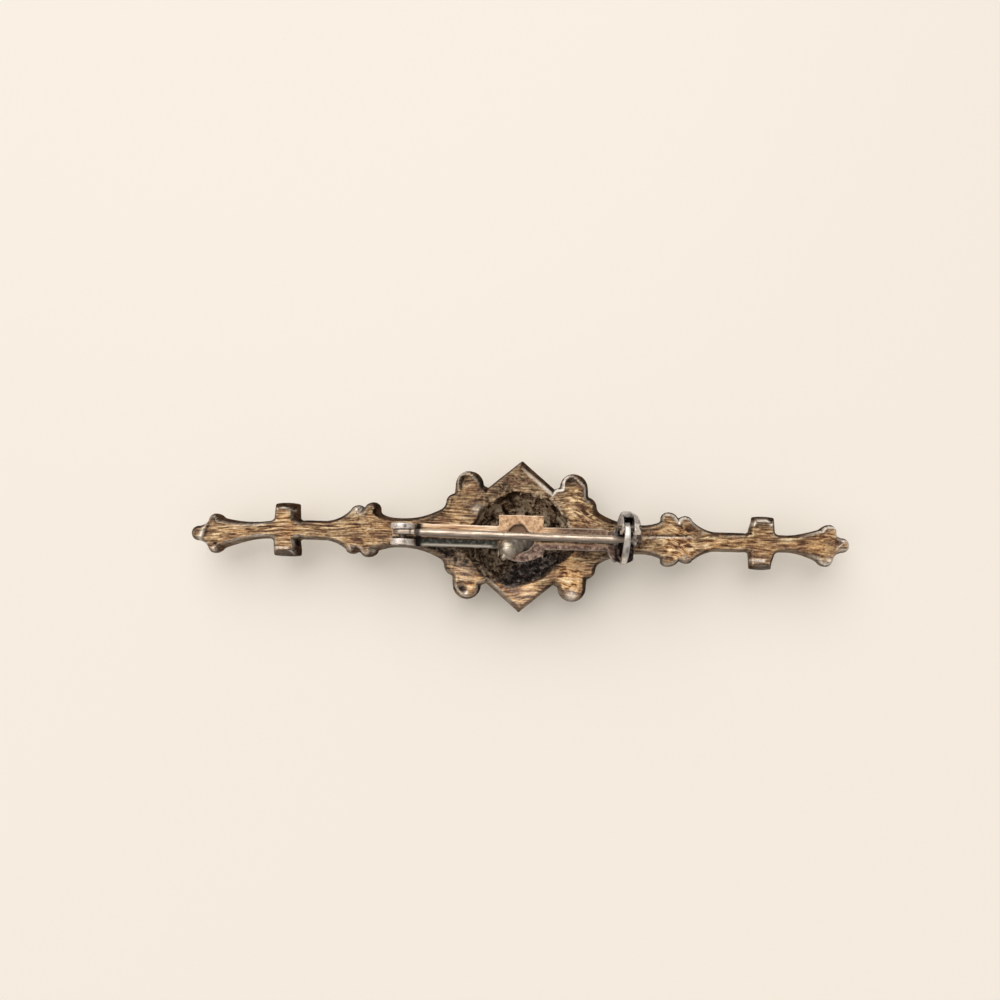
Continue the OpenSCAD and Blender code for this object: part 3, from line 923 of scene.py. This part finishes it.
def rim_wear(p, at, side):
    """The broken bright line on the back face's rim, partly wear and partly painted highlight, and
    a painted highlight on the bevel beside its brightest parts.
    """
    near_top = ramp(p[:, 2], BACK_Z - 0.5, BACK_Z - 0.2)
    rim = at.inside * bell(at.distance - 0.05, 0.09) * near_top
    bevel = side * bell(at.distance, 0.12) * near_top
    breaks = fbm(np.c_[at.along * 0.5, at.across * 0.5, p[:, 2]], 97, octaves=3)
    broken = ramp(breaks, -0.45, 0.0)
    bright = painted(p[:, :2], BRIGHT_RIMS)
    dim = 0.1 + 0.2 * ramp(p[:, 0], ARM_START, ARM_FULL)
    line = np.maximum(dim * broken, bright * ramp(broken, 0.0, 0.4))
    return np.maximum(rim * line, bevel * bright)


def wear_mask(p, at, side, facing, hole):
    """Where the casting is worn bright and painted light: its rim, a painted reflection on its near
    left sides, a painted highlight beside the score, beads and ridges.
    """
    xy, z = p[:, :2], p[:, 2]
    scored, off_score = score(xy)
    worn_and_lit = [
        rim_wear(p, at, side),
        # Painted reflection lightens the sides that face the near left
        side * ramp(facing, 0.5, 0.95) * 0.12,
        # Painted highlight along the score's near side
        0.6 * at.face * scored * bell(off_score + 0.16, 0.08),
        painted(xy, SPOTS, "polish") * (z > BACK_Z - 0.7),
        painted(xy, CREASES, "polish", crease) * (z > BACK_Z - 0.9),
    ]
    wear = np.maximum.reduce(worn_and_lit) * (1 - 0.7 * np.clip(hole, 0, 1))
    return np.maximum(wear, at.front * np.clip(-hole, 0, 1) * 0.6)


def casting_masks(obj, at):
    """Where the casting is dirty, painted dark on its sides as shade, golden, worn bright and
    painted with highlights.
    """
    p = points_of(obj)
    xy, (x, y, z) = p[:, :2], p.T
    hole = cavity(obj, 6, 0.05)
    blotch = fbm(p * 0.9, 91, octaves=3)
    in_hollow = hollow_mask(p, at)
    # Painted shade: a dark line just inside the back face's rim
    groove = 0.25 * bell(at.distance - 0.36, 0.1)
    grime = np.maximum(in_hollow * 0.95, at.face * stain_mask(xy, at, blotch))
    grime += at.face * (0.2 * np.clip(hole, 0, 1) + groove)
    cold = in_hollow * ramp(x - y, 1.6, 3.4) * ramp(y, -1.0, -2.4)
    # Painted light: the pale skin lightens the hollow, most on its far part, and less where it is
    # blue-black
    far_share = 0.4 + 0.6 * ramp(y, -2.0, 0.5)
    pit = (in_hollow - 0.9 * cold) * far_share * (0.85 + 0.5 * blotch)
    side = (1 - at.face) * (1 - in_hollow) * (1 - at.front)
    # Painted shade: the sides and the tab ends are dark brown, darkest where the sides face the far
    # right
    near_left = -(at.out[:, 0] * 0.5 + at.out[:, 1] * 0.87)
    wall = side * (0.75 + 0.25 * ramp(-near_left + 0.25 * blotch, -0.4, 0.3))
    tab_end = ramp(np.abs(y), 2.3, 2.5) * ramp(np.abs(np.abs(x) - TAB_X), 2.1, 1.7)
    wear = wear_mask(p, at, side, near_left + 0.5 * blotch, hole)
    set_masks(
        obj,
        grime=np.clip(grime, 0, 1),
        pit=np.clip(pit, 0, 1),
        cold=cold,
        wall=np.clip(np.maximum(wall, tab_end * (1 - at.front)), 0, 1),
        wear=np.clip(wear, 0, 1),
        golden=painted(xy, GOLDEN),
        coarse=painted(xy, MARK_ZONES, "coarse"),
        scaly=painted(xy, MARK_ZONES, "scaly"),
        front=at.front,
        marks=np.c_[at.along, at.across, z],
    )


def nudged(p):
    """The points with the hinge end bent towards the near side and single lobes and tabs moved."""
    xy = p[:, :2]
    shift = sum(disc(xy, row)[:, None] * (row.dx, row.dy) for row in NUDGES)
    shift[:, 1] -= 0.65 * ramp(-xy[:, 0], 25, 33)
    return np.c_[xy + shift, p[:, 2]]


def make_casting():
    """The casting with worn edges, file marks, dents and a rough hollow."""
    obj = remeshed(copy_of("bar_casting"), "casting", CASTING_VOXEL)
    p, n = points_of(obj), normals_of(obj)
    at = SimpleNamespace()
    at.distance, at.out = from_border(face_border(), p[:, :2])
    at.inside = (n[:, 2] > 0.9) & (p[:, 2] > BACK_Z - 0.12)
    at.face = smoothed(obj, at.inside.astype(float), 1)
    at.front = ramp(n[:, 2], 0.2, -0.2) * ramp(p[:, 2], RING_Z, RING_Z - 0.3)
    bowl = (np.hypot(p[:, 0], p[:, 1]) < HOLLOW_R + 0.1) & (p[:, 2] > HOLLOW_Z)
    bowl &= (n[:, 2] > -0.1) & ~at.inside
    reshape_hollow(p, n, at)
    reshape_border(p, at)
    at.along, at.across = mark_field(p[:, :2])
    p[:, 2] += carve_face(p, at)
    rocks = 0.36 * fbm(p * 1.1, 47, octaves=4, gain=0.6)
    rocks += 0.20 * np.abs(fbm(p * 2.2, 57, octaves=3)) - 0.08
    rest = 0.015 * fbm(p * 1.3, 71) * (1 - at.face)
    p += n * np.where(bowl, rocks * ramp(p[:, 2], BACK_Z, BACK_Z - 0.3), rest)[:, None]
    set_points(obj, p)
    casting_masks(obj, at)
    set_points(obj, nudged(p))
    finish_piece(obj, casting_material(), "brooch", "bar_casting")


# Fittings


def finish_piece(obj, material, body, node):
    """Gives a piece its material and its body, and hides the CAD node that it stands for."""
    obj.data.materials.append(material)
    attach(obj, body)
    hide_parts(node)


def shape_plate(p):
    """Bows the plate's near edge and pushes in the far right edge of its hole."""
    x, y = p[:, 0], p[:, 1] - STRIP_Y
    on_plate = ramp(np.abs(x), PLATE_HALF + 0.1, PLATE_HALF - 0.2) * (p[:, 2] < STRIP_TOP + 0.1)
    p[:, 1] += on_plate * ramp(-y, 1.6, 2.4) * (0.75 * (x / PLATE_HALF) ** 2 - 0.15)
    burr = on_plate * bell(np.hypot(x - 1.0, y - 1.0), 0.7) * ramp(np.hypot(x, y), 2.0, 1.6)
    p[:, :2] -= burr[:, None] * 0.35


def shape_catch(p):
    """Thins the left cheek, thickens the right one and trims the near jaws and the foot's right."""
    u, y, rise = p[:, 0] - CATCH_X, p[:, 1] - STRIP_Y, p[:, 2] - STRIP_TOP
    housing = (u > -2.2) * ramp(rise, 0.05, 0.4)
    jaw = housing * ramp(-y, 0.3, 0.9)
    foot = (u > 0) * ramp(rise, 0.3, 0.1) * ramp(-y, 0.0, 0.5)
    foot_left = (1 - housing) * ramp(-u, 0.6, 1.0)
    near_left = foot_left * ramp(u, -1.8, -1.4) * ramp(-y, 0.3, 1.0)
    far_left = foot_left * ramp(u, -2.2, -1.8) * ramp(y, 0.9, 1.3)
    left_cheek = 0.5 * np.clip(-u - 0.65, 0, 0.5)
    right_cheek = 0.27 * np.clip(np.minimum(u / 0.65, (1.15 - u) / 0.5), 0, 1)
    p[:, 0] += housing * (left_cheek - right_cheek) + far_left * 0.4
    p[:, 0] -= jaw * 0.4 * ramp(u, 0.6, 1.1) + foot * np.clip(u - 1.0, 0, None)
    p[:, 1] += jaw * 0.35 * ramp(-y, 1.0, 2.4) - near_left * 0.3 - far_left * 0.4


def make_strip():
    """The backing strip with its square plate, and the hinge ears and catch soldered to it."""
    obj = remeshed(copy_of("backing_strip"), "strip", STRIP_VOXEL)
    p, n = points_of(obj), normals_of(obj)
    x, y = p[:, 0], p[:, 1] - STRIP_Y
    shape_plate(p)
    shape_catch(p)
    edge = (np.abs(n[:, 2]) < 0.7) & (p[:, 2] < STRIP_TOP + 0.1)
    fitting = ramp(p[:, 2], STRIP_TOP + 0.02, STRIP_TOP + 0.2)
    scratches = fbm(np.c_[x * 0.3, y * 2.6, p[:, 2]], 13)
    offset = (1 - fitting) * 0.03 * scratches + 0.012 * fbm(p * 2.0, 17)
    offset += edge * 0.07 * fbm(np.c_[p[:, :2] * 1.3, p[:, 2] * 0.2], 19)
    set_points(obj, p + n * offset[:, None])
    strip_masks(obj, points_of(obj), n, fitting)
    finish_piece(obj, strip_material(), "brooch", "backing_strip")


def catch_zones(p, n, fitting):
    """Zones of the catch, from 0 to 1: all of it, the recesses that get painted shade and the cheek
    ends that get painted highlight.
    """
    u, y, rise = p[:, 0] - CATCH_X, p[:, 1] - STRIP_Y, p[:, 2] - STRIP_TOP
    catch = ramp(u, -1.25, -1.1)
    mouth = ramp(u, -1.0, -0.8) * ramp(u, 1.0, 0.7)
    right_jaw = ramp(u, -0.3, 0.0) * ramp(-y, 0.3, 0.6)
    near_jaw = ramp(-y, 0.4, 0.7) * ramp(y, -1.9, -1.6)
    low = ramp(rise, 2.2, 1.2)
    return SimpleNamespace(
        whole=catch,
        jaws=mouth * np.maximum(right_jaw, near_jaw),
        throat=catch * (0.5 + 0.5 * mouth) * low,
        slot=catch * (np.abs(u + 0.1) < 0.58) * (np.abs(n[:, 0]) > 0.6),
        arch=catch * fitting * ramp(y, 0.9, 1.4),
        outside=catch * (u < -0.8) * ramp(-n[:, 0], 0.5, 0.8) * low,
        inner=catch * ramp(np.abs(u), 0.85, 0.7) * ramp(y, 0.9, 1.2),
        cheek_ends=catch * fitting * ramp(rise, 1.9, 2.3) * ramp(np.abs(y - 0.75), 0.95, 0.5),
    )


def hinge_zones(p, fitting):
    """Zones of the hinge, from 0 to 1: its low ears, the dimples in them and the gap beside it."""
    v, y, rise = p[:, 0] - HINGE_X, p[:, 1] - STRIP_Y, p[:, 2] - STRIP_TOP
    return SimpleNamespace(
        ears=fitting * ramp(v, 1.4, 1.2) * ramp(rise, 1.6, 0.9),
        gap=ramp(v, 1.1, 1.3) * ramp(v, 2.1, 1.6),
        dimples=fitting * bell(np.hypot(v - 0.3, np.abs(y) - 0.8), 0.24),
    )


def strip_masks(obj, p, n, fitting):
    """Where the strip is pitted and green with tarnish, where patina and painted shade darken it,
    and where it is worn bright and carries painted highlights.
    """
    x, y, z = p[:, 0], p[:, 1] - STRIP_Y, p[:, 2]
    hole = cavity(obj, 5, 0.03)
    catch, hinge = catch_zones(p, n, fitting), hinge_zones(p, fitting)
    foot = ramp(x - CATCH_X, -2.1, -1.7)
    right_low = ramp(x, -2.8, -1.8) * ramp(-y, 0.35, 0.8)
    right_far = 0.6 * ramp(x, 2.4, 5.0) * ramp(y, 0.1, 0.5)
    # Painted shade on the faces turned down, along the pin's shadow, in the catch's jaws, throat
    # and slot, on its outer left wall, in the gap by the hinge and on the ears' low parts and
    # dimples;
    # patina darkens the hollows, and the strip's far right and the catch's far arch are darker too
    dark = [
        np.clip(hole, 0, 1),
        0.6 * ramp(-n[:, 2], 0.2, 0.9),
        0.9 * bell(y + 0.34, 0.15) * (1 - fitting),
        0.75 * right_far * (1 - foot),
        catch.jaws,
        catch.throat,
        catch.slot,
        0.5 * catch.arch,
        0.8 * catch.outside,
        hinge.gap,
        0.9 * hinge.ears,
        0.75 * hinge.dimples,
    ]
    # Painted highlight along the strip's near edge left of the plate and on the catch's cheek ends;
    # the sharp edges and the foot's edge are worn bright
    near_edge = bell(y + 1.0, 0.12) * (z > STRIP_TOP - 0.15) * ramp(-x, 2.6, 3.4)
    foot_edge = foot * (x - CATCH_X < -0.8) * (1 - fitting) * ramp(-hole, 0.1, 0.6)
    foot_edge *= np.maximum(ramp(np.abs(y - 0.6), 0.7, 0.4), 0.7 * ramp(-y, 0.9, 1.3))
    bright = [np.clip(-hole - 0.3, 0, 1), 0.75 * near_edge, catch.cheek_ends, 0.9 * foot_edge]
    open_to_wear = (1 - catch.jaws) * (1 - hinge.gap)
    open_to_wear *= (1 - 0.7 * catch.throat) * (1 - 0.8 * catch.inner)
    set_masks(
        obj,
        pitted=np.maximum.reduce([right_low, right_far, foot]),
        fitting=fitting * (1 - catch.whole * ramp(-y, 0.3, 0.6)),
        plate=ramp(np.abs(x), PLATE_HALF + 0.3, PLATE_HALF - 0.3),
        green=ramp(-x, PLATE_HALF - 0.3, PLATE_HALF + 0.2) * ramp(-y, 0.1, 0.5),
        grime=np.clip(np.maximum.reduce(dark) - 0.9 * catch.cheek_ends, 0, 1),
        wear=np.maximum.reduce(bright) * open_to_wear,
    )


def make_rivet_lump():
    """The rough lump of the centre rivet, and the metal that has run into the plate's hole."""
    bm = copy_of("centre_rivet")
    for x, y, z, radius, squash in LUMPS:
        place = Matrix.Translation(Vector((x, y, STRIP_TOP + z)) * MM)
        place = place @ Matrix.Diagonal((1, 1, squash, 1))
        bmesh.ops.create_icosphere(bm, subdivisions=4, radius=radius * MM, matrix=place)
    obj = remeshed(bm, "rivet_lump", LUMP_VOXEL)
    p, n = points_of(obj), normals_of(obj)
    head = ramp(p[:, 2], STRIP_TOP - 0.05, STRIP_TOP + 0.2)
    shaft = ramp(p[:, 2], STRIP_TOP - 0.8, STRIP_TOP - 1.0)
    rough = (1 - shaft) * 0.14 * fbm(p * 0.9, 33, octaves=4, gain=0.55)
    set_points(obj, p + n * rough[:, None])
    hole = cavity(obj, 6, 0.05)
    # Painted shade on the lump's sunk parts, darker on its right part, and a painted highlight as
    # the
    # shine spot near its top; the hollows are dark with patina
    right = ramp(p[:, 0] + p[:, 1], -2.6, -1.6)
    shine = bell(np.hypot(p[:, 0] + 1.4, p[:, 1] + 1.45), 0.4)
    worn_and_lit = 0.3 * np.clip(-hole, 0, 1) * (1 - right) + shine
    set_masks(
        obj,
        grime=np.clip(0.7 * hole + 0.75 * right + 0.3 * (1 - head), 0, 1),
        brown=(1 - head) * ramp(p[:, 1], -0.6, 0.2) * 0.9,
        wear=np.clip(worn_and_lit, 0, 1) * head,
    )
    light, dark = srgb(226, 214, 198), srgb(140, 128, 112)
    grey = silver_material("lump_silver", light, dark, 0.26, 0.8, (1.4, 1.4, 1.4))
    finish_piece(obj, grey, "brooch", "centre_rivet")


def make_small(node, name, body, material, voxel, rough, seed, dark=None, shape=None):
    """A small silver piece: the CAD node a little uneven, with worn corners."""
    obj = remeshed(copy_of(node), name, voxel)
    p, n = points_of(obj), normals_of(obj)
    p += n * (rough * fbm(p * 1.6, seed))[:, None]
    if shape is not None:
        shape(p)
    set_points(obj, p)
    hole = cavity(obj, 4, 0.02)
    # Dark with patina in the hollows, and with painted shade where the dark function puts it
    grime = np.clip(hole, 0, 1)
    if dark is not None:
        grime = np.maximum(grime, dark(p))
    set_masks(obj, grime=grime, wear=np.clip(-hole - 0.5, 0, 1) * 0.7 * (1 - grime))
    finish_piece(obj, material, body, node)


def shape_pin(p):
    """Leans the wire a little towards the far side at the hinge and flattens its knuckle."""
    knuckle = ramp(p[:, 0], HINGE_X + 1.3, HINGE_X + 1.0)
    p[:, 1] -= 0.25 * knuckle * (p[:, 1] - STRIP_Y)
    p[:, 1] += PIN_LEAN * (CATCH_X - np.maximum(p[:, 0], HINGE_X + 1.7))


def shape_lever(p):
    """Widens the lever at its middle, narrows the rest and leans its near end to the left."""
    middle = (LEVER_LOW[0] + LEVER_HIGH[0]) / 2
    wide = bell(p[:, 1] - LEVER_LOW[1] - 1.6, 1.3)
    lean = 0.12 * ramp(-p[:, 1], -1.0, 2.0)
    p[:, 0] = middle + (p[:, 0] - middle) * (0.85 + 0.25 * wide) - lean


def pin_shade_and_marks(p):
    """Painted shade on its near side, beside and low on the knuckle and at its tip in the catch;
    dark at two marks.
    """
    v, rise = p[:, 0] - HINGE_X, p[:, 2] - STRIP_TOP
    centre = STRIP_Y + PIN_LEAN * (CATCH_X - p[:, 0])
    dark = [
        0.62 * ramp(centre - p[:, 1], 0.02, 0.3),
        ramp(v, 1.15, 1.35) * ramp(v, 2.0, 1.7),
        0.9 * ramp(v, 1.4, 1.1) * ramp(rise, 2.1, 1.6),
        0.4 * ramp(p[:, 0] - CATCH_X, -1.6, -1.0),
        0.85 * bell(v - 0.84, 0.12),
        0.35 * bell(p[:, 0] + 1.8, 0.07),
    ]
    return np.maximum.reduce(dark)


def lever_shade(p):
    """A dark spot painted as the shade of a dimple in the lever's face, and painted shade on its
    right side and at its far end.
    """
    x, y = p[:, 0] - LEVER_LOW[0], p[:, 1] - LEVER_LOW[1]
    dark = [
        0.85 * bell(np.hypot(y - 1.45, (x - 0.3) * 2.2), 0.42),
        0.5 * ramp(x, 0.3, 0.5),
        0.8 * ramp(p[:, 1] - LEVER_HIGH[1], -0.55, -0.2),
    ]
    return np.maximum.reduce(dark)


def make_wire_pieces():
    """The pin, the catch's lever and their two rivets."""
    even = (2.0, 2.0, 2.0)
    wire = silver_material(
        "wire_silver", srgb(218, 202, 186), srgb(152, 136, 122), 0.27, 0.9, (0.5, 5.0, 5.0)
    )
    pale = silver_material(
        "lever_silver", srgb(240, 234, 228), srgb(196, 188, 180), 0.34, 0.8, even
    )
    dull = silver_material("dull_silver", srgb(120, 112, 104), srgb(60, 52, 46), 0.4, 0.9, even)
    make_small(
        "pin_stem", "pin", "pin", wire,
        voxel=0.05, rough=0.008, seed=5, dark=pin_shade_and_marks, shape=shape_pin,
    )
    make_small(
        "catch_lever", "lever", "lever", pale,
        voxel=0.03, rough=0.02, seed=7, dark=lever_shade, shape=shape_lever,
    )
    make_small(
        "hinge_rivet", "hinge_rivet_worn", "brooch", dull,
        voxel=0.035, rough=0.01, seed=9,
    )
    make_small(
        "catch_rivet", "catch_rivet_worn", "brooch", dull,
        voxel=0.03, rough=0.01, seed=15,
    )


# Stage


def make_camera():
    """The photograph's view, nearly square on to the brooch's back, at the same place and scale."""
    data = bpy.data.cameras.new("camera")
    camera = bpy.data.objects.new("camera", data)
    bpy.context.scene.collection.objects.link(camera)
    data.sensor_width = 36.0
    data.lens = data.sensor_width * FOCAL_PX / IMAGE_PX
    data.clip_start = 0.005
    data.clip_end = 10.0
    elevation = math.radians(ELEVATION)
    target = Vector((0, 0, RING_Z * MM))
    back = Vector((0, -math.cos(elevation), math.sin(elevation)))
    roll = Matrix.Rotation(math.radians(ROLL), 3, "Z")
    turn = (-back).to_track_quat("-Z", "Y").to_matrix() @ roll
    distance = FOCAL_PX / PX_PER_MM * MM
    off_x = (CENTRE_PX[0] - IMAGE_PX / 2) / PX_PER_MM * MM
    off_y = (IMAGE_PX / 2 - CENTRE_PX[1]) / PX_PER_MM * MM
    camera.rotation_euler = turn.to_euler()
    camera.location = target - turn @ Vector((off_x, off_y, -distance))
    bpy.context.scene.camera = camera


def softbox(name, azimuth, elevation, width, strength, colour):
    """A large far-off light: its direction from the brooch and its width, in degrees."""
    data = bpy.data.lights.new(name, "SUN")
    data.angle = math.radians(width)
    data.energy = strength
    data.color = colour
    light = bpy.data.objects.new(name, data)
    turn, rise = math.radians(azimuth), math.radians(elevation)
    level = math.cos(rise)
    towards = Vector((level * math.cos(turn), level * math.sin(turn), math.sin(rise)))
    light.location = towards * 0.5
    light.rotation_euler = (-towards).to_track_quat("-Z", "Y").to_euler()
    bpy.context.scene.collection.objects.link(light)


def make_world():
    """Dim room light, brighter overhead than at the horizon."""
    world = bpy.data.worlds.new("studio")
    world.use_nodes = True
    tree = world.node_tree
    n = Nodes(tree)
    split = tree.nodes.new("ShaderNodeSeparateXYZ")
    n.link(tree.nodes.new("ShaderNodeTexCoord").outputs["Generated"], split.inputs["Vector"])
    sky = n.ramp(split.outputs["Z"], [(0.0, (0.22, 0.205, 0.19)), (1.0, (0.66, 0.625, 0.59))])
    n.link(sky, tree.nodes["Background"].inputs["Color"])
    bpy.context.scene.world = world


def make_floor():
    """A plain pale floor with a slight glaze."""
    bm = bmesh.new()
    bmesh.ops.create_grid(bm, x_segments=1, y_segments=1, size=0.6)
    mesh = bpy.data.meshes.new("floor")
    bm.to_mesh(mesh)
    bm.free()
    floor = bpy.data.objects.new("floor", mesh)
    bpy.context.scene.collection.objects.link(floor)
    material, _, shader = new_material("floor_glaze")
    shader.inputs["Base Color"].default_value = (*srgb(247, 242, 234), 1.0)
    shader.inputs["Roughness"].default_value = 0.35
    shader.inputs["Specular IOR Level"].default_value = 0.3
    mesh.materials.append(material)


def make_lights():
    """Room light and two large soft lights, from the far side and from the left."""
    make_world()
    softbox("far_softbox", 108, 50, 62, 1.65, (1.0, 0.965, 0.915))
    softbox("left_softbox", 190, 50, 40, 0.3, (1.0, 0.97, 0.93))
    bpy.context.scene.view_settings.view_transform = "Standard"


make_camera()
make_floor()
make_lights()
make_casting()
make_strip()
make_rivet_lump()
make_wire_pieces()
